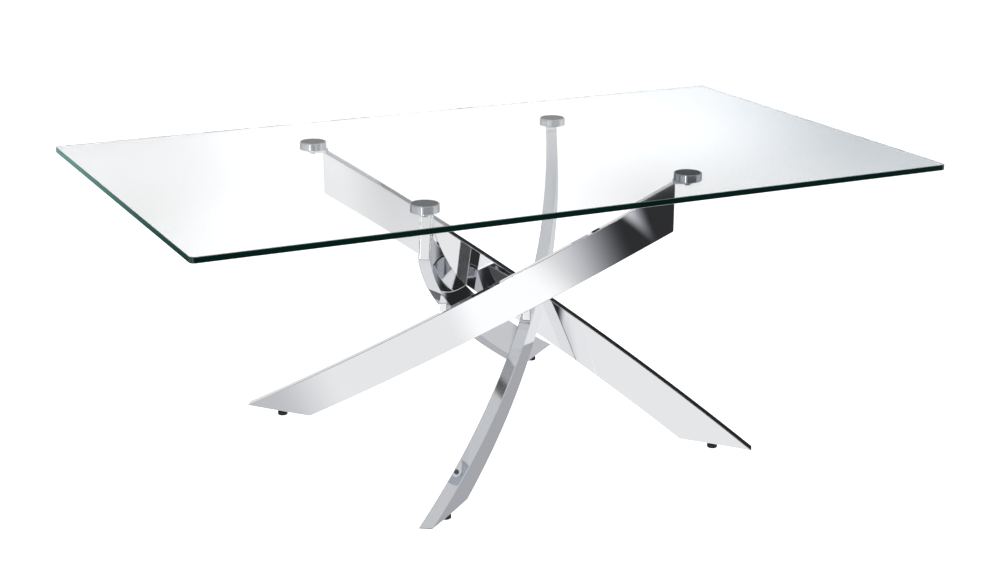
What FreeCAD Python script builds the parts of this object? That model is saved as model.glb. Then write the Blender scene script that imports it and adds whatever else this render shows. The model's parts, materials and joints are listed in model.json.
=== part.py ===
"""Glass-topped dining table on four bent blade legs.

Millimetres, +Z up. The origin is on the floor under the middle of the top,
X runs along the top's long side and Y across it.

The base is one leg repeated at four quarter turns about Z. Each leg is a flat
rectangular tube bent about its thin side to one large radius, leaned over and
trimmed, so that it rests on the next leg and carries the one before it.
"""
import FreeCAD, Part
import Sketcher
import math
import os

# Driving dimensions: millimetres and degrees.
SIZES = {
    "top_length": 2000.0,
    "top_width": 1160.0,
    "glass_thickness": 15.0,
    "table_height": 762.0,
    "corner_radius": 14.0,
    "arris": 1.2,
    # Discs that hold the glass: centres on a square about the axis.
    "disc_offset": 361.5,
    "disc_diameter": 71.0,
    "disc_height": 19.0,
    "disc_bevel": 0.8,
    "bond_diameter": 66.0,
    "bond_thickness": 1.0,
    # Lug: the flat tongue between a leg's upper end and its disc.
    "lug_thickness": 8.0,
    "lug_width": 28.0,
    "lug_overlap": 7.5,
    "lug_hole_radius": 4.3,
    # Screw up through the lug into the disc.
    "screw_radius": 3.95,
    "screw_reach": 12.0,
    "screw_head_radius": 7.0,
    "screw_head_height": 4.5,
    "screw_socket_width": 5.0,
    "screw_socket_depth": 2.6,
    "thread_hole_radius": 4.0,
    "thread_hole_depth": 14.0,
    # Leg tube and how it stands.
    "tube_depth": 98.0,
    "tube_thickness": 30.0,
    "tube_wall": 2.5,
    "bend_radius": 2765.0,
    "bend_span": 33.0,
    "bend_start": 66.0,
    "lean_angle": 31.34,
    "heading_angle": 146.6,
    "axis_distance": 123.3,
    "closest_point": 246.4,
    "mid_height": 379.6,
    "end_distance": 470.5,
    "foot_cut_height": 15.0,
    # Plates that close the tube's two ends.
    "plate_thickness": 3.0,
    "plate_gap": 0.1,
    # Wedge block between two crossing legs.
    "block_width": 20.0,
    # Levelling foot.
    "foot_distance": 590.0,
    "insert_radius": 8.5,
    "insert_length": 25.0,
    "insert_bore_radius": 5.05,
    "stud_radius": 5.0,
    "stud_length": 24.0,
    "collar_width": 14.0,
    "collar_height": 4.2,
    "pivot_radius": 4.0,
    "pivot_length": 6.0,
    "running_gap": 0.05,
    "face_gap": 0.1,
    "pad_radius": 13.5,
    "pad_height": 10.5,
    "pad_bevel": 1.6,
}
LEG_COUNT = 4
QUARTER_TURN = 90.0
WIDER_THAN_LEG = 4000.0
PAST_THE_FOOT = "2 * Sizes.end_distance + Sizes.foot_distance"

Y_AXIS = FreeCAD.Vector(0, 1, 0)
Z_AXIS = FreeCAD.Vector(0, 0, 1)

doc = FreeCAD.newDocument("dining_table")
sheet = doc.addObject("Spreadsheet::Sheet", "Sizes")
for row, (alias, number) in enumerate(SIZES.items(), start=1):
    sheet.set(f"A{row}", alias)
    sheet.set(f"B{row}", str(number))
    sheet.setAlias(f"B{row}", alias)
doc.recompute()

nodes = []


def size(alias):
    """The number that the sheet holds under an alias."""
    return float(sheet.get(alias))


def bind(thing, **expressions):
    """Bind properties of an object to expressions on the sheet's aliases."""
    for prop, expression in expressions.items():
        thing.setExpression(prop, expression)
    return thing


def place(thing, x=0.0, y=0.0, z=0.0, axis=Z_AXIS, angle=0.0):
    """Give an object its Placement."""
    thing.Placement = FreeCAD.Placement(FreeCAD.Vector(x, y, z), FreeCAD.Rotation(axis, angle))
    return thing


def node(thing, label):
    """Name a finished sub-part: the label is also its file's name."""
    thing.Label = label
    nodes.append(thing)
    return thing


def leg_turn(index):
    """Angle about Z that takes leg 0's own frame to leg number index."""
    return size("heading_angle") + QUARTER_TURN * index


def turned(x, y, angle):
    """A point turned about the origin by an angle in degrees."""
    turn = math.radians(angle)
    return (x * math.cos(turn) - y * math.sin(turn), x * math.sin(turn) + y * math.cos(turn))


def bar_side(along, height):
    """How far to the side a leg's middle is, at a distance along it and a height."""
    lean = math.radians(size("lean_angle"))
    down_bar = along * math.cos(lean) - (height - size("mid_height")) * math.sin(lean)
    from_closest = down_bar + size("closest_point")
    sagitta = size("bend_radius") - math.sqrt(size("bend_radius") ** 2 - from_closest ** 2)
    return size("axis_distance") - sagitta


# Heights and places that several sub-parts share.
LUG_BASE = ("Sizes.table_height - Sizes.glass_thickness - Sizes.bond_thickness"
            " - Sizes.disc_height - Sizes.lug_thickness")
glass_underside = size("table_height") - size("glass_thickness")
disc_top = glass_underside - size("bond_thickness")
disc_base = disc_top - size("disc_height")
lug_base = disc_base - size("lug_thickness")
disc_along, disc_side = turned(size("disc_offset"), -size("disc_offset"), -size("heading_angle"))
foot_along = size("foot_distance")
foot_side = bar_side(foot_along, size("foot_cut_height"))


# ---------------------------------------------------------------- primitives
def cylinder(name, radius, height, z=0.0):
    """Part::Cylinder with bound radius and height, standing at height z."""
    thing = bind(doc.addObject("Part::Cylinder", name), Radius=radius, Height=height)
    return place(thing, z=z)


def box(name, length, width, height):
    """Part::Box with bound sizes, its corner at the origin."""
    return bind(doc.addObject("Part::Box", name), Length=length, Width=width, Height=height)


def hexagon(name, across_flats, height, z=0.0):
    """Six-sided Part::Prism with a bound width and height."""
    prism = doc.addObject("Part::Prism", name)
    prism.Polygon = 6
    bind(prism, Circumradius=f"{across_flats} / sqrt(3)", Height=height)
    return place(prism, z=z)


def cut(name, base, tool):
    """Part::Cut of two objects."""
    thing = doc.addObject("Part::Cut", name)
    thing.Base = base
    thing.Tool = tool
    return thing


def fuse(name, base, tool):
    """Part::Fuse of two objects, with the shared face cleaned away."""
    thing = doc.addObject("Part::Fuse", name)
    thing.Base = base
    thing.Tool = tool
    thing.Refine = True
    return thing


def common(name, base, tool):
    """Part::Common of two objects."""
    thing = doc.addObject("Part::Common", name)
    thing.Base = base
    thing.Tool = tool
    return thing


# ------------------------------------------------------- PartDesign helpers
def new_sketch(body, name, role="XY_Plane"):
    """Empty sketch on one of a body's own origin planes."""
    sketch = body.newObject("Sketcher::SketchObject", name)
    plane = [feature for feature in body.Origin.OriginFeatures if feature.Role == role][0]
    sketch.AttachmentSupport = [(plane, "")]
    sketch.MapMode = "FlatFace"
    return sketch


def circle_sketch(body, name, radius):
    """Sketch of one circle about the origin with a bound radius."""
    sketch = new_sketch(body, name)
    sketch.addGeometry(Part.Circle(FreeCAD.Vector(0, 0, 0), Z_AXIS, 10.0), False)
    sketch.addConstraint(Sketcher.Constraint("Coincident", 0, 3, -1, 1))
    sketch.addConstraint(Sketcher.Constraint("Radius", 0, 10.0))
    sketch.setExpression("Constraints[1]", radius)
    return sketch


def rectangle_sketch(body, name, length, width):
    """Sketch of a rectangle centred on the origin with bound sides."""
    sketch = new_sketch(body, name)
    corners = [(-50, -30), (50, -30), (50, 30), (-50, 30)]
    for start, end in zip(corners, corners[1:] + corners[:1]):
        line = Part.LineSegment(FreeCAD.Vector(*start, 0), FreeCAD.Vector(*end, 0))
        sketch.addGeometry(line, False)
    for edge in range(4):
        sketch.addConstraint(Sketcher.Constraint("Coincident", edge, 2, (edge + 1) % 4, 1))
    for edge in (0, 2):
        sketch.addConstraint(Sketcher.Constraint("Horizontal", edge))
    for edge in (1, 3):
        sketch.addConstraint(Sketcher.Constraint("Vertical", edge))
    sketch.addConstraint(Sketcher.Constraint("Symmetric", 0, 1, 1, 2, -1, 1))
    across = sketch.addConstraint(Sketcher.Constraint("DistanceX", 0, 1, 0, 2, 100.0))
    upright = sketch.addConstraint(Sketcher.Constraint("DistanceY", 1, 1, 1, 2, 60.0))
    sketch.setExpression(f"Constraints[{across}]", length)
    sketch.setExpression(f"Constraints[{upright}]", width)
    return sketch


def pad(body, name, sketch, length):
    """PartDesign::Pad of a sketch with a bound length."""
    feature = body.newObject("PartDesign::Pad", name)
    feature.Profile = sketch
    return bind(feature, Length=length)


def dressed_edges(body, kind, name, base, edges, **expressions):
    """PartDesign::Fillet or Chamfer on the numbered edges of a feature."""
    feature = body.newObject(kind, name)
    feature.Base = (base, [f"Edge{number}" for number in edges])
    return bind(feature, **expressions)


def upright_edges(shape):
    """Numbers of a shape's edges that are parallel to Z."""
    return [
        number
        for number, edge in enumerate(shape.Edges, start=1)
        if isinstance(edge.Curve, Part.Line) and edge.BoundBox.ZLength > 1.0
    ]


def level_edges(shape):
    """Numbers of a shape's edges that lie in a horizontal plane."""
    return [
        number
        for number, edge in enumerate(shape.Edges, start=1)
        if edge.BoundBox.ZLength < 0.01
    ]


# --------------------------------------------------------------- the top
def make_glass_top():
    """One sheet of toughened glass, with rounded corners and a bevelled rim."""
    body = doc.addObject("PartDesign::Body", "GlassTop")
    outline = rectangle_sketch(body, "GlassOutline", "Sizes.top_length", "Sizes.top_width")
    slab = pad(body, "GlassSlab", outline, "Sizes.glass_thickness")
    doc.recompute()
    corners = dressed_edges(body, "PartDesign::Fillet", "GlassCorners", slab,
                            upright_edges(slab.Shape), Radius="Sizes.corner_radius")
    doc.recompute()
    dressed_edges(body, "PartDesign::Chamfer", "GlassArris", corners,
                  level_edges(corners.Shape), Size="Sizes.arris")
    node(place(body, z=glass_underside), "glass_top")


def make_disc(index):
    """Metal disc under the glass, with a blind threaded hole from below."""
    number = index + 1
    x, y = turned(size("disc_offset"), -size("disc_offset"), QUARTER_TURN * index)

    film = cylinder(f"Bond{number}", "Sizes.bond_diameter / 2", "Sizes.bond_thickness")
    node(place(film, x, y, disc_top), f"bond_film_{number}")

    body = doc.addObject("PartDesign::Body", f"Disc{number}")
    face = circle_sketch(body, f"DiscFace{number}", "Sizes.disc_diameter / 2")
    blank = pad(body, f"DiscBlank{number}", face, "Sizes.disc_height")
    doc.recompute()
    bevel = dressed_edges(body, "PartDesign::Chamfer", f"DiscBevel{number}", blank,
                          level_edges(blank.Shape), Size="Sizes.disc_bevel")
    hole = body.newObject("PartDesign::Pocket", f"DiscHole{number}")
    hole.Profile = circle_sketch(body, f"DiscHoleFace{number}", "Sizes.thread_hole_radius")
    hole.Reversed = True
    bind(hole, Length="Sizes.thread_hole_depth")
    doc.recompute()
    check_removed(bevel, hole)
    node(place(body, x, y, disc_base), f"top_disc_{number}")

    head_z = lug_base - size("screw_head_height")
    shank = cylinder(f"ScrewShank{number}", "Sizes.screw_radius",
                     "Sizes.screw_head_height + Sizes.lug_thickness + Sizes.screw_reach")
    head = cylinder(f"ScrewHead{number}", "Sizes.screw_head_radius", "Sizes.screw_head_height")
    socket = hexagon(f"ScrewSocket{number}", "Sizes.screw_socket_width", "Sizes.screw_socket_depth")
    solid = fuse(f"ScrewSolid{number}", shank, head)
    screw = cut(f"Screw{number}", solid, socket)
    node(place(screw, x, y, head_z), f"disc_screw_{number}")


def check_removed(before, after):
    """Stop if a cut took nothing away."""
    if after.Shape.Volume > before.Shape.Volume - 1.0:
        raise RuntimeError(f"{after.Name} removed nothing")


# -------------------------------------------------------------- the legs
def bent_bar(name, insets=()):
    """Solid bar bent about its thin side, in the leg's own frame.

    It is a sector of a ring about the bend's centre. The ring's axis leans over
    with the leg, so the bar runs downwards along X and bulges towards +Y. The
    aliases in insets are taken off every side of the tube's outline.
    """
    inset = sum(size(alias) for alias in insets)
    less = "".join(f" - Sizes.{alias}" for alias in insets)
    half = f"(Sizes.tube_thickness / 2{less})"
    depth = f"2 * (Sizes.tube_depth / 2{less})"
    outer = cylinder(f"{name}Outer", f"Sizes.bend_radius + {half}", depth)
    inner = cylinder(f"{name}Inner", f"Sizes.bend_radius - {half}", depth)
    for wedge in (outer, inner):
        bind(wedge, Angle="Sizes.bend_span")
    ring = cut(name, outer, inner)
    centre = FreeCAD.Vector(-size("closest_point"), size("axis_distance") - size("bend_radius"),
                            inset - size("tube_depth") / 2)
    in_bar = FreeCAD.Placement(centre, FreeCAD.Rotation(Z_AXIS, size("bend_start")))
    lean = FreeCAD.Placement(FreeCAD.Vector(0, 0, size("mid_height")),
                             FreeCAD.Rotation(Y_AXIS, size("lean_angle")))
    ring.Placement = lean.multiply(in_bar)
    return ring


def slab(name, x, z, length, height):
    """Box wider than the leg, its low corner at x and z, its sizes expressions."""
    block = box(name, length, f"{WIDER_THAN_LEG} mm", height)
    return place(block, x, -WIDER_THAN_LEG / 2, z)


def make_leg(index):
    """Bent tube, trimmed upright at the top end and level at the foot."""
    number = index + 1
    outside = bent_bar(f"Bar{number}")
    hollow = bent_bar(f"Hollow{number}", ["tube_wall"])
    tube = cut(f"Tube{number}", outside, hollow)
    room = slab(f"Room{number}", -size("end_distance"), size("foot_cut_height"), PAST_THE_FOOT,
                f"{LUG_BASE} - Sizes.foot_cut_height")
    leg = common(f"Leg{number}", tube, room)
    node(place(leg, angle=leg_turn(index)), f"leg_{number}")


def make_end_plates(index):
    """Plates let into the tube's two open ends, the lower with the insert's hole."""
    number = index + 1
    insets = ["tube_wall", "plate_gap"]
    thick = "Sizes.plate_thickness"
    top_end = slab(f"TopEnd{number}", -size("end_distance"), 0.0, thick, LUG_BASE)
    top_plate = common(f"TopPlate{number}", bent_bar(f"TopFill{number}", insets), top_end)
    node(place(top_plate, angle=leg_turn(index)), f"top_plate_{number}")

    foot_end = slab(f"FootEnd{number}", 0.0, size("foot_cut_height"), PAST_THE_FOOT, thick)
    blank = common(f"FootBlank{number}", bent_bar(f"FootFill{number}", insets), foot_end)
    hole = cylinder(f"InsertHole{number}", "Sizes.insert_radius", "Sizes.table_height")
    place(hole, foot_along, foot_side)
    foot_plate = cut(f"FootPlate{number}", blank, hole)
    node(place(foot_plate, angle=leg_turn(index)), f"foot_plate_{number}")


def make_lug(index):
    """Flat tongue welded over the leg's top corner, round under the disc."""
    number = index + 1
    reach = size("end_distance") - size("lug_overlap") + disc_along
    strip = box(f"LugStrip{number}", f"{-reach} mm", "Sizes.lug_width", "Sizes.lug_thickness")
    place(strip, disc_along, disc_side - size("lug_width") / 2, lug_base)
    nose = cylinder(f"LugNose{number}", "Sizes.lug_width / 2", "Sizes.lug_thickness")
    place(nose, disc_along, disc_side, lug_base)
    hole = cylinder(f"LugHole{number}", "Sizes.lug_hole_radius", "Sizes.lug_thickness")
    place(hole, disc_along, disc_side, lug_base)
    tongue = fuse(f"LugTongue{number}", strip, nose)
    lug = cut(f"Lug{number}", tongue, hole)
    node(place(lug, angle=leg_turn(index)), f"lug_{number}")


def crossing():
    """Where leg 0's middle line passes over leg 1's, in leg 0's own frame.

    The legs differ by a quarter turn, so the side distance of each is how far
    along the other they cross. A few repeats settle the two distances.
    """
    along = 0.0
    for _ in range(20):
        side = bar_side(along, size("mid_height"))
        along = -bar_side(side, size("mid_height"))
    return along, side


def make_crossing_block(index):
    """Wedge welded between a leg's underside and the next leg's top edge."""
    number = index + 1
    along, side = crossing()
    half = size("block_width") / 2
    column = box(f"Column{number}", "Sizes.block_width", "Sizes.block_width",
                 "Sizes.tube_depth")
    place(column, along - half, side - half, size("mid_height") - size("tube_depth") / 2)
    upper_leg = bent_bar(f"Over{number}")
    lower_leg = place_under(bent_bar(f"Under{number}"))
    below_upper = cut(f"BelowUpper{number}", column, upper_leg)
    wedge = cut(f"Wedge{number}", below_upper, lower_leg)
    node(place(wedge, angle=leg_turn(index)), f"crossing_block_{number}")


def place_under(bar):
    """Turn a bar a quarter turn about Z, to where the next leg is."""
    quarter = FreeCAD.Placement(FreeCAD.Vector(0, 0, 0), FreeCAD.Rotation(Z_AXIS, QUARTER_TURN))
    bar.Placement = quarter.multiply(bar.Placement)
    return bar


# ----------------------------------------------------- the levelling feet
def make_levelling_foot(index):
    """Insert in the leg, threaded stud with its hexagon, and the pad it turns in."""
    number = index + 1
    x, y = turned(foot_along, foot_side, leg_turn(index))

    sleeve = cylinder(f"InsertBody{number}", "Sizes.insert_radius", "Sizes.insert_length")
    bore = cylinder(f"InsertBore{number}", "Sizes.insert_bore_radius", "Sizes.insert_length")
    insert = cut(f"Insert{number}", sleeve, bore)
    node(place(insert, x, y, size("foot_cut_height")), f"foot_insert_{number}")

    pivot = cylinder(f"StudPivot{number}", "Sizes.pivot_radius",
                     "Sizes.pivot_length + Sizes.face_gap")
    collar_z = size("pivot_length") + size("face_gap")
    collar = hexagon(f"StudCollar{number}", "Sizes.collar_width", "Sizes.collar_height", collar_z)
    thread = cylinder(f"StudThread{number}", "Sizes.stud_radius", "Sizes.stud_length",
                      collar_z + size("collar_height"))
    stud = fuse(f"Stud{number}", fuse(f"StudFoot{number}", pivot, collar), thread)
    node(place(stud, x, y, size("pad_height") - size("pivot_length")), f"foot_stud_{number}")

    body = doc.addObject("PartDesign::Body", f"Pad{number}")
    face = circle_sketch(body, f"PadFace{number}", "Sizes.pad_radius")
    blank = pad(body, f"PadBlank{number}", face, "Sizes.pad_height")
    doc.recompute()
    bevel = dressed_edges(body, "PartDesign::Chamfer", f"PadBevel{number}", blank,
                          level_edges(blank.Shape), Size="Sizes.pad_bevel")
    seat = body.newObject("PartDesign::Pocket", f"PadSeat{number}")
    seat.Profile = circle_sketch(body, f"PadSeatFace{number}",
                                 "Sizes.pivot_radius + Sizes.running_gap")
    seat.Profile[0].AttachmentOffset = FreeCAD.Placement(
        FreeCAD.Vector(0, 0, size("pad_height")), FreeCAD.Rotation())
    bind(seat, Length="Sizes.pivot_length + Sizes.face_gap")
    doc.recompute()
    check_removed(bevel, seat)
    node(place(body, x, y, 0.0), f"foot_pad_{number}")


# --------------------------------------------------------- build and write
make_glass_top()
for leg_index in range(LEG_COUNT):
    make_disc(leg_index)
    make_leg(leg_index)
    make_end_plates(leg_index)
    make_lug(leg_index)
    make_crossing_block(leg_index)
    make_levelling_foot(leg_index)
doc.recompute()

for thing in doc.Objects:
    if "Invalid" in thing.State or "Error" in thing.State:
        raise RuntimeError(f"{thing.Name} failed: {thing.State}")

os.makedirs("parts", exist_ok=True)
for finished in nodes:
    shape = finished.Shape
    if shape.isNull() or not shape.isValid() or not shape.Solids:
        raise RuntimeError(f"{finished.Label} has no valid solid")
    shape.exportStep(os.path.join("parts", f"{finished.Label}.step"))
    bounds = shape.BoundBox
    print(f"{finished.Label}: {len(shape.Solids)} solid, {shape.Volume:.0f} mm3, "
          f"z {bounds.ZMin:.1f} to {bounds.ZMax:.1f}")
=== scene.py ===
"""Looks for the glass-topped dining table: materials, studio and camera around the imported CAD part.

Metres, in the part's own frame: X along the top's long side, Y across it to the far side, Z up,
with the origin on the floor under the middle of the glass.
"""
import json
import math
from typing import NamedTuple

import bpy
from mathutils import Matrix, Vector


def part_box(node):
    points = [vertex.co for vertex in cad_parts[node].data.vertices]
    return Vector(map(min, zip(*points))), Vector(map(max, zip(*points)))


# Camera: where it stands round the table, and what it looks through.
CAMERA_PLACE = Vector((-2.124, -4.273, 1.872))
CAMERA_AZIMUTH = -26.63
CAMERA_ELEVATION = 17.30
CAMERA_ROLL = 0.375
LENS_MM = 68.01
SENSOR_MM = 36.0

# Radii that the material rounds over the sharp edges of the plain CAD solids.
TUBE_EDGE_RADIUS = 0.0025
DISC_EDGE_RADIUS = 0.0010

# Floor and backdrop, which glow enough to come out as white as paper.
FLOOR_SIDE = 160.0
BACKDROP_RADIUS = 70.0
FLOOR_GLOW = 1.33
FLOOR_GLOW_OFF_SIDE = 1.05
BACKDROP_GLOW = 1.0
OFF_SIDE_FROM = 1.5
OFF_SIDE_TO = 3.6

# The Mix node has sockets of one name for every data type: these are its colour ones.
MIX_COLOUR_A = 6
MIX_COLOUR_B = 7
MIX_COLOUR_RESULT = 2

# How far up or down a face of the glass looks: the rim stays below one, the sheet above the other.
RIM_UP_TO = 0.60
SHEET_FROM = 0.85
GLASS_INDEX = 1.5
FAR_RIM_OPACITY = 0.42

# Where most of a noise's values lie.
NOISE_LOW = 0.3
NOISE_HIGH = 0.7

EDGE_SAMPLES = 8
MAX_BOUNCES = 20
GLOSSY_BOUNCES = 14
HALF_TURN = 180.0

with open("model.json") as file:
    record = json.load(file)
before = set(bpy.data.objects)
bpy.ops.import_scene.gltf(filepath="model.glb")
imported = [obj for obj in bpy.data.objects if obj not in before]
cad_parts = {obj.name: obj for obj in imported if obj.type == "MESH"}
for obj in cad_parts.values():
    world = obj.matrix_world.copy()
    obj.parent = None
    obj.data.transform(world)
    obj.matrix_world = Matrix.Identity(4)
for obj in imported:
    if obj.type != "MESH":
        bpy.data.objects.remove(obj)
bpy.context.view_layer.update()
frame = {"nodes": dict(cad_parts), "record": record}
nodes = frame["nodes"]


# ------------------------------------------------------------ node helpers
class Shader:
    """A material's or world's node tree, with short calls for the nodes used here."""

    def __init__(self, owner):
        owner.use_nodes = True
        self.tree = owner.node_tree
        self.tree.nodes.clear()

    def add(self, kind, **settings):
        """New node of a kind; settings are its own properties."""
        made = self.tree.nodes.new(kind)
        for name, value in settings.items():
            setattr(made, name, value)
        return made

    def feed(self, socket, value):
        """Link an output to a socket, or set the socket's own value."""
        if isinstance(value, bpy.types.NodeSocket):
            self.tree.links.new(value, socket)
        else:
            socket.default_value = value

    def math(self, operation, first, second=0.0, third=0.0):
        """Result of one Math node."""
        made = self.add("ShaderNodeMath", operation=operation)
        for socket, value in zip(made.inputs, (first, second, third)):
            self.feed(socket, value)
        return made.outputs[0]

    def ramp(self, value, low, high, to_low=0.0, to_high=1.0):
        """Smooth step from to_low at low to to_high at high."""
        made = self.add("ShaderNodeMapRange", interpolation_type="SMOOTHSTEP")
        for name, number in (("Value", value), ("From Min", low), ("From Max", high),
                             ("To Min", to_low), ("To Max", to_high)):
            self.feed(made.inputs[name], number)
        return made.outputs["Result"]

    def mix(self, factor, first, second):
        """Colour between first and second."""
        made = self.add("ShaderNodeMix", data_type="RGBA")
        self.feed(made.inputs["Factor"], factor)
        self.feed(made.inputs[MIX_COLOUR_A], first)
        self.feed(made.inputs[MIX_COLOUR_B], second)
        return made.outputs[MIX_COLOUR_RESULT]

    def noise(self, vector, scale, detail=2.0):
        """Grey noise on a vector."""
        made = self.add("ShaderNodeTexNoise")
        self.feed(made.inputs["Vector"], vector)
        self.feed(made.inputs["Scale"], scale)
        self.feed(made.inputs["Detail"], detail)
        return made.outputs["Fac"]

    def uneven(self, noise, lowest, highest):
        """Value that wanders with a noise between two values."""
        return self.ramp(noise, NOISE_LOW, NOISE_HIGH, lowest, highest)

    def object_point(self):
        """The surface point in the part's own frame."""
        return self.add("ShaderNodeTexCoord").outputs["Object"]

    def stretched(self, vector, scale):
        """A vector with each axis scaled."""
        made = self.add("ShaderNodeMapping")
        self.feed(made.inputs["Vector"], vector)
        self.feed(made.inputs["Scale"], scale)
        return made.outputs["Vector"]

    def parts_of(self, vector):
        """Outputs X, Y and Z of a vector."""
        made = self.add("ShaderNodeSeparateXYZ")
        self.feed(made.inputs[0], vector)
        return made.outputs

    def bump(self, height, distance):
        """Bump node for a height."""
        made = self.add("ShaderNodeBump")
        self.feed(made.inputs["Height"], height)
        self.feed(made.inputs["Distance"], distance)
        return made

    def bent(self, height, distance):
        """The surface's own normal, bent by a height."""
        return self.bump(height, distance).outputs["Normal"]

    def rounded(self, radius, height, distance):
        """Normal that turns smoothly over sharp edges and is bent by a height."""
        edge = self.add("ShaderNodeBevel", samples=EDGE_SAMPLES)
        self.feed(edge.inputs["Radius"], radius)
        made = self.bump(height, distance)
        self.feed(made.inputs["Normal"], edge.outputs["Normal"])
        return made.outputs["Normal"]

    def principled(self, **inputs):
        """Principled surface; inputs are named with underscores for spaces."""
        made = self.add("ShaderNodeBsdfPrincipled")
        for name, value in inputs.items():
            self.feed(made.inputs[name.replace("_", " ")], value)
        output = self.add("ShaderNodeOutputMaterial")
        self.feed(output.inputs["Surface"], made.outputs["BSDF"])


def new_shader(name):
    """New material and its Shader."""
    material = bpy.data.materials.new(name)
    return material, Shader(material)


def rgba(red, green, blue):
    """Opaque linear colour."""
    return (red, green, blue, 1.0)


# -------------------------------------------------------------- materials
def chrome_material():
    """Bright chromium plate: a mirror with faint polishing haze and long, low waves."""
    material, shader = new_shader("polished_chrome")
    point = shader.object_point()
    haze = shader.noise(point, scale=9.0, detail=3.0)
    roughness = shader.ramp(haze, 0.35, 0.75, 0.01, 0.04)
    tone = shader.mix(haze, rgba(0.88, 0.885, 0.90), rgba(0.92, 0.925, 0.935))
    waves = shader.noise(point, scale=3.0, detail=0.0)
    shader.principled(Base_Color=tone, Metallic=1.0, Roughness=roughness,
                      Normal=shader.rounded(TUBE_EDGE_RADIUS, waves, distance=0.0006))
    return material


def disc_material():
    """Satin steel turned on a lathe, with faint bands round each disc's side."""
    material, shader = new_shader("turned_steel")
    point = shader.object_point()
    rings = shader.noise(shader.stretched(point, (1.0, 1.0, 60.0)), scale=30.0, detail=3.0)
    tone = shader.mix(rings, rgba(0.42, 0.47, 0.53), rgba(0.58, 0.63, 0.69))
    roughness = shader.uneven(rings, 0.04, 0.10)
    shader.principled(Base_Color=tone, Metallic=1.0, Roughness=roughness,
                      Normal=shader.rounded(DISC_EDGE_RADIUS, rings, distance=0.00002))
    return material


def bond_material():
    """Clear, slightly cloudy adhesive film, as dark as the disc's metal that shows through it."""
    material, shader = new_shader("cured_adhesive")
    cloud = shader.noise(shader.object_point(), scale=45.0, detail=4.0)
    tone = shader.mix(cloud, rgba(0.30, 0.34, 0.39), rgba(0.48, 0.53, 0.58))
    roughness = shader.uneven(cloud, 0.10, 0.22)
    shader.principled(Base_Color=tone, Metallic=1.0, Roughness=roughness,
                      Normal=shader.bent(cloud, distance=0.00005))
    return material


def steel_material(name, dark, light):
    """Zinc-plated steel with a fine blotchy grain, between two greys."""
    material, shader = new_shader(name)
    grain = shader.noise(shader.object_point(), scale=900.0, detail=4.0)
    roughness = shader.uneven(grain, 0.28, 0.45)
    shader.principled(Base_Color=shader.mix(grain, dark, light), Metallic=1.0,
                      Roughness=roughness, Normal=shader.bent(grain, distance=0.00003))
    return material


def pad_material():
    """Moulded black plastic with a spark-eroded grain."""
    material, shader = new_shader("moulded_black_plastic")
    grain = shader.noise(shader.object_point(), scale=1400.0, detail=3.0)
    tone = shader.mix(grain, rgba(0.006, 0.006, 0.007), rgba(0.014, 0.014, 0.016))
    roughness = shader.uneven(grain, 0.42, 0.60)
    shader.principled(Base_Color=tone, Roughness=roughness,
                      Normal=shader.bent(grain, distance=0.00008))
    return material


def glass_material():
    """Clear float glass with an opaque rim in the glass's own green, its brightness painted light for
    what passes through the sheet's whole depth.
    """
    material, shader = new_shader("float_glass")
    low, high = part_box("glass_top")
    point = shader.object_point()
    geometry = shader.add("ShaderNodeNewGeometry")
    facing = shader.parts_of(geometry.outputs["True Normal"])
    upright = shader.math("ABSOLUTE", facing["Z"])
    rim = shader.ramp(upright, RIM_UP_TO, SHEET_FROM, 1.0, 0.0)
    # Seen through the sheet, the far rim only dims what is behind it.
    seen = shader.ramp(geometry.outputs["Backfacing"], 0.0, 1.0, 1.0, FAR_RIM_OPACITY)
    opaque = shader.math("MULTIPLY", rim, seen)
    # Painted light: the short ends are painted lighter than the long sides, most of all towards the
    # far side, for the light that passes through them.
    end_on = shader.math("ABSOLUTE", facing["X"])
    along_end = shader.ramp(shader.parts_of(point)["Y"], low.y, high.y)
    end_tint_and_light = shader.mix(along_end, rgba(0.010, 0.055, 0.045), rgba(0.16, 0.42, 0.37))
    streak = shader.noise(shader.stretched(point, (1.0, 1.0, 40.0)), scale=6.0)
    # Painted shade: the long sides are painted a near-black green, in streaks, for the little light
    # that passes through them.
    side_tint_and_shade = shader.mix(streak, rgba(0.0004, 0.007, 0.005), rgba(0.001, 0.016, 0.012))
    # The rim's colour is the glass's own green, with painted light and painted shade in its
    # brightness.
    rim_tint_and_light = shader.mix(shader.ramp(end_on, 0.5, 0.9), side_tint_and_shade, end_tint_and_light)
    clear = rgba(0.985, 0.995, 0.992)
    shader.principled(Base_Color=shader.mix(opaque, clear, rim_tint_and_light), Roughness=0.0,
                      IOR=GLASS_INDEX, Transmission_Weight=shader.math("SUBTRACT", 1.0, opaque))
    return material


def dress(materials):
    """Give every CAD node the finish of its material slot."""
    slots = {row["node"]: row["material_slot"] for row in frame["record"]["subparts"]}
    for name, node in nodes.items():
        node.data.materials.clear()
        node.data.materials.append(materials[slots[name]])


dress({
    "glass": glass_material(),
    "bond": bond_material(),
    "disc_metal": disc_material(),
    "screw_steel": steel_material("dull_zinc", rgba(0.10, 0.105, 0.11), rgba(0.20, 0.205, 0.21)),
    "insert_steel": steel_material("bright_zinc", rgba(0.42, 0.42, 0.43), rgba(0.60, 0.60, 0.61)),
    "chrome": chrome_material(),
    "pad_plastic": pad_material(),
})


# ----------------------------------------------------------------- studio
class Card(NamedTuple):
    """Soft-edged panel, placed by its direction from the table in degrees clockwise from +Y."""

    name: str
    azimuth: float
    half_width: float
    side_edge: float
    lowest: float
    highest: float
    end_edge: float
    brightness: float


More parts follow.
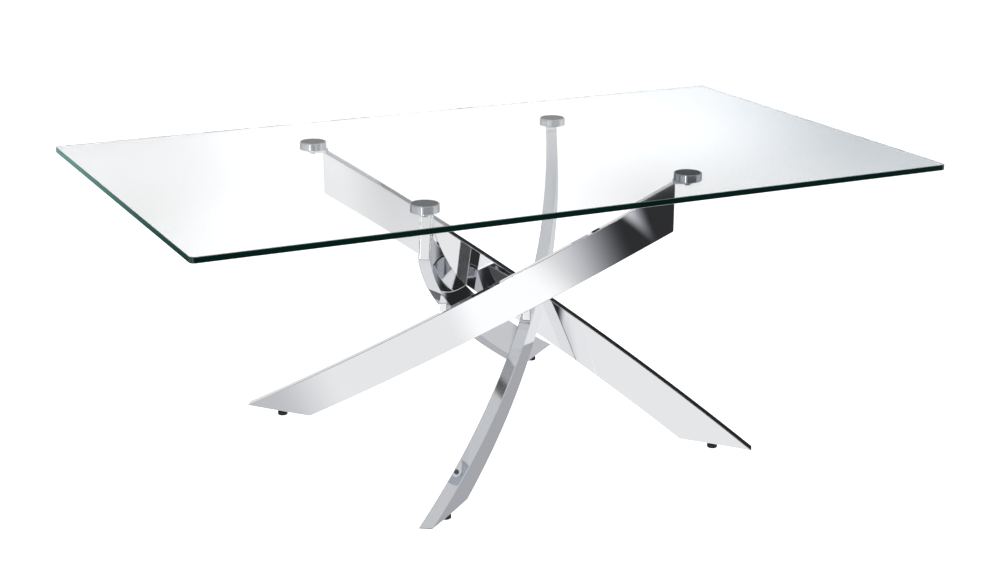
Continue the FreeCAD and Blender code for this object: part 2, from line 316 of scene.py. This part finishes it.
# What stands round the table, in the order it is hung: a later card hides an earlier one.
CARDS = tuple(Card(*row) for row in (
    ("ceiling scrim", 0.0, 400.0, 1.0, 46.0, 95.0, 10.0, 0.58),
    ("dark behind the camera", -150.0, 62.0, 20.0, 4.0, 64.0, 8.0, 0.02),
    ("wall behind the camera", 172.0, 26.0, 14.0, -6.0, 40.0, 8.0, 0.62),
    ("wall on the far left", -46.0, 26.0, 16.0, -8.0, 19.0, 6.0, 0.50),
    ("gap in the ceiling", -104.0, 24.0, 10.0, 60.0, 74.5, 4.0, 0.01),
    ("boom overhead", -8.3, 1.1, 0.3, 77.0, 84.0, 1.0, 0.01),
    ("arm of the boom", -5.8, 1.4, 0.4, 77.0, 84.0, 1.0, 0.30),
    ("wall ahead", 12.0, 24.0, 10.0, -14.0, 10.5, 5.0, 0.78),
    ("upper wall ahead", 23.5, 6.0, 5.0, 11.0, 30.0, 4.0, 0.64),
    ("edge of the window", 13.5, 4.5, 3.0, 6.0, 14.0, 2.0, 0.27),
    ("window ahead", 26.5, 8.5, 6.0, 2.0, 13.2, 2.5, 0.80),
    ("wall on the left", -92.0, 52.0, 12.0, -95.0, 2.0, 2.0, 0.58),
    ("scrim on the left", -120.5, 22.0, 14.0, -75.0, 2.0, 2.0, 0.88),
    ("key on the left", -137.5, 10.5, 5.0, -32.0, -18.0, 3.0, 1.10),
    ("end of the scrim", -143.5, 8.0, 3.0, -10.8, 2.0, 1.0, 0.92),
    ("corner of the scrim", -151.0, 6.0, 2.0, -5.0, 8.0, 3.0, 0.95),
    ("strip light", -131.0, 1.4, 0.6, -18.0, -8.0, 1.0, 9.0),
    ("floor on the right", 60.0, 24.0, 14.0, -95.0, -19.0, 4.0, 0.42),
    ("floor ahead", 36.0, 9.0, 4.0, -30.0, -6.0, 6.0, 0.68),
    ("panel on the right", 66.0, 7.0, 4.0, -19.0, 30.0, 6.0, 0.62),
    ("wall on the right", 80.0, 7.0, 6.0, -19.0, 30.0, 6.0, 0.56),
    ("scrim on the right", 112.0, 24.0, 12.0, -40.0, 40.0, 12.0, 0.80),
    ("flag", 52.0, 4.5, 2.0, -18.0, 22.0, 3.0, 0.02),
    ("slit by the flag", 45.5, 3.5, 1.0, -3.0, 8.5, 1.5, 1.00),
    ("floor in front", 165.0, 26.0, 14.0, -95.0, -24.0, 10.0, 0.55),
    ("floor behind the table", 22.0, 30.0, 14.0, -95.0, -32.0, 8.0, 0.48),
    ("gap under the window", 29.0, 4.5, 2.0, -8.5, -2.5, 2.0, 0.08),
    ("floor close by", 0.0, 400.0, 1.0, -95.0, -58.0, 20.0, 0.70),
))
DARK_STUDIO = 0.03


def angles_of_view(shader):
    """Azimuth and elevation in degrees of the direction that the world is asked for."""
    direction = shader.parts_of(shader.add("ShaderNodeTexCoord").outputs["Generated"])
    around = shader.math("ARCTAN2", direction["X"], direction["Y"])
    above = shader.math("ARCSINE", direction["Z"])
    return [shader.math("DEGREES", angle) for angle in (around, above)]


def card_cover(shader, azimuth, elevation, card):
    """How much of a direction the card fills, from 0 outside it to 1 inside."""
    away = shader.math("SUBTRACT", azimuth, card.azimuth)
    wrapped = shader.math("ABSOLUTE", shader.math("WRAP", away, HALF_TURN, -HALF_TURN))
    side = card.side_edge / 2
    end = card.end_edge / 2
    across = shader.ramp(wrapped, card.half_width - side, card.half_width + side, 1.0, 0.0)
    bottom = shader.ramp(elevation, card.lowest - end, card.lowest + end)
    top = shader.ramp(elevation, card.highest - end, card.highest + end, 1.0, 0.0)
    return shader.math("MULTIPLY", shader.math("MULTIPLY", across, bottom), top)


def studio_world():
    """Dark studio with soft cards, which is what the chrome and the glass mirror."""
    world = bpy.data.worlds.new("studio")
    bpy.context.scene.world = world
    shader = Shader(world)
    azimuth, elevation = angles_of_view(shader)
    light = DARK_STUDIO
    for card in CARDS:
        cover = card_cover(shader, azimuth, elevation, card)
        cover.node.label = card.name
        step = shader.math("SUBTRACT", card.brightness, light)
        light = shader.math("ADD", shader.math("MULTIPLY", cover, step), light)
    background = shader.add("ShaderNodeBackground")
    shader.feed(background.inputs["Strength"], light)
    tint = shader.mix(shader.ramp(light, 0.3, 0.9), rgba(0.955, 0.975, 1.04), rgba(0.99, 0.995, 1.0))
    shader.feed(background.inputs["Color"], tint)
    output = shader.add("ShaderNodeOutputWorld")
    shader.feed(output.inputs["Surface"], background.outputs["Background"])


def pale_material(name, glow, off_side_glow):
    """Pale matt surface with a faint mottle, lit mostly by its own glow.

    The glow has one strength round the table and another beyond the table's +X end.
    """
    material, shader = new_shader(name)
    mottle = shader.noise(shader.object_point(), scale=1.5, detail=3.0)
    tone = shader.mix(mottle, rgba(0.29, 0.29, 0.29), rgba(0.31, 0.31, 0.31))
    place = shader.parts_of(shader.object_point())
    off_side = shader.ramp(place["X"], OFF_SIDE_FROM, OFF_SIDE_TO)
    strength = shader.ramp(off_side, 0.0, 1.0, glow, off_side_glow)
    tint = shader.mix(off_side, rgba(1.0, 1.0, 1.0), rgba(0.95, 1.01, 1.07))
    shader.principled(Base_Color=tone, Roughness=0.9, Emission_Color=tint,
                      Emission_Strength=strength)
    return material


def only_seen_by(thing, *kinds):
    """Leave an object visible to these kinds of ray alone."""
    for kind in ("camera", "diffuse", "glossy", "transmission", "shadow", "volume_scatter"):
        setattr(thing, f"visible_{kind}", kind in kinds)


def studio_floor():
    """Pale floor that the camera sees; the chrome mirrors the studio instead.

    It lies as low as the levelling feet reach, so that it hides none of them at any pose.
    """
    slides = [joint for joint in frame["record"]["behaviour"]["joints"] if "range_m" in joint]
    reach = max(joint["range_m"][1] for joint in slides)
    bpy.ops.mesh.primitive_plane_add(size=FLOOR_SIDE, location=(0.0, 0.0, -reach))
    floor = bpy.context.object
    floor.name = "floor"
    floor.data.materials.append(pale_material("pale_floor", FLOOR_GLOW, FLOOR_GLOW_OFF_SIDE))
    only_seen_by(floor, "camera", "diffuse", "transmission")


def studio_backdrop():
    """White dome over the table and its floor, for the camera alone."""
    bpy.ops.mesh.primitive_uv_sphere_add(segments=64, ring_count=32, radius=BACKDROP_RADIUS)
    dome = bpy.context.object
    dome.name = "backdrop"
    dome.data.materials.append(pale_material("pale_backdrop", BACKDROP_GLOW, BACKDROP_GLOW))
    only_seen_by(dome, "camera")


def studio_camera():
    """Camera in front of the table's left end, looking slightly down."""
    data = bpy.data.cameras.new("camera")
    data.lens = LENS_MM
    data.sensor_width = SENSOR_MM
    data.clip_end = 4 * BACKDROP_RADIUS
    camera = bpy.data.objects.new("camera", data)
    bpy.context.scene.collection.objects.link(camera)
    azimuth, elevation, roll = (math.radians(angle) for angle in
                                (CAMERA_AZIMUTH, CAMERA_ELEVATION, CAMERA_ROLL))
    back = Vector((math.sin(azimuth) * math.cos(elevation),
                   -math.cos(azimuth) * math.cos(elevation), math.sin(elevation)))
    aim = (-back).to_track_quat("-Z", "Y").to_matrix().to_4x4()
    camera.matrix_world = Matrix.Translation(CAMERA_PLACE) @ aim @ Matrix.Rotation(roll, 4, "Z")
    bpy.context.scene.camera = camera


def picture_settings():
    """Plain colours, and more bounces than usual for light to and fro between the legs."""
    scene = bpy.context.scene
    scene.view_settings.view_transform = "Standard"
    scene.cycles.max_bounces = MAX_BOUNCES
    scene.cycles.glossy_bounces = GLOSSY_BOUNCES


studio_world()
studio_floor()
studio_backdrop()
studio_camera()
picture_settings()
